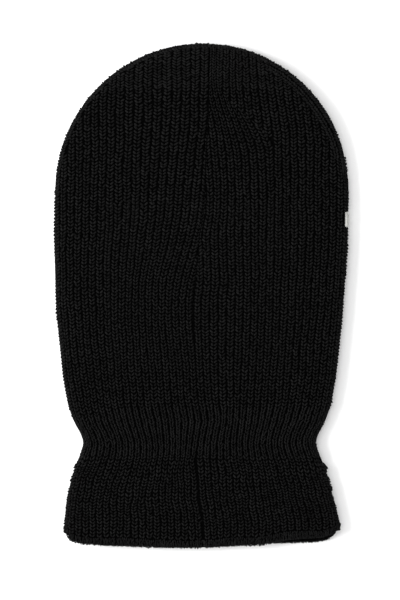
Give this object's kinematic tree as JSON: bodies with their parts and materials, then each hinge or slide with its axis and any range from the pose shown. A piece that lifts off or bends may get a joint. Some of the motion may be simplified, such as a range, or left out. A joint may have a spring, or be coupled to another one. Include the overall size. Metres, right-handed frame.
{
  "type": "balaclava",
  "caption": "Chunky rib-knit ski mask laid flat: domed head with eye and mouth openings, tight neck rib, flared collar that folds up.",
  "frame": {"origin": "middle of the laid-flat mask's outline, on the surface that its face lies on", "axes": "+X across the mask towards the wearer's right, +Y from the hem to the crown, +Z from the face to the back of the head"},
  "size_m": [0.222, 0.382, 0.017],
  "materials": {
    "knit": "chunky cardigan rib knitted in matt black acrylic yarn",
    "tight_rib": "tight one-by-one rib in matt black acrylic yarn",
    "sewing_thread": "black spun polyester overlock and tack thread",
    "embroidery_thread": "white rayon satin stitch, soft sheen",
    "satin_ribbon": "woven off-white satin ribbon, blank"
  },
  "bodies": {
    "hood": {"head_back_left": "knit", "head_back_right": "knit", "face_panel": "knit", "crown_back_left": "tight_rib", "crown_back_right": "tight_rib", "crown_front": "tight_rib", "neck_back_left": "tight_rib", "neck_back_right": "tight_rib", "neck_front": "tight_rib", "eye_left_binding": "tight_rib", "eye_right_binding": "tight_rib", "mouth_binding": "tight_rib", "eye_left_tack_outer": "sewing_thread", "eye_left_tack_inner": "sewing_thread", "eye_right_tack_outer": "sewing_thread", "eye_right_tack_inner": "sewing_thread", "mouth_tack_outer": "sewing_thread", "mouth_tack_inner": "sewing_thread", "hood_back_seam": "sewing_thread", "crown_dart_left": "sewing_thread", "crown_dart_right": "sewing_thread", "white_bar": "embroidery_thread"},
    "collar": {"collar_back_left": "knit", "collar_back_right": "knit", "collar_front": "knit", "hem_back": "tight_rib", "hem_front": "tight_rib", "collar_back_seam": "sewing_thread", "care_label": "satin_ribbon"}
  },
  "joints": [
    {"name": "collar_fold", "type": "hinge", "parent": "hood", "child": "collar", "pos_m": [0, -0.111, 0.0182], "axis": [-1, 0, 0], "range_deg": [0, 168]}
  ]
}
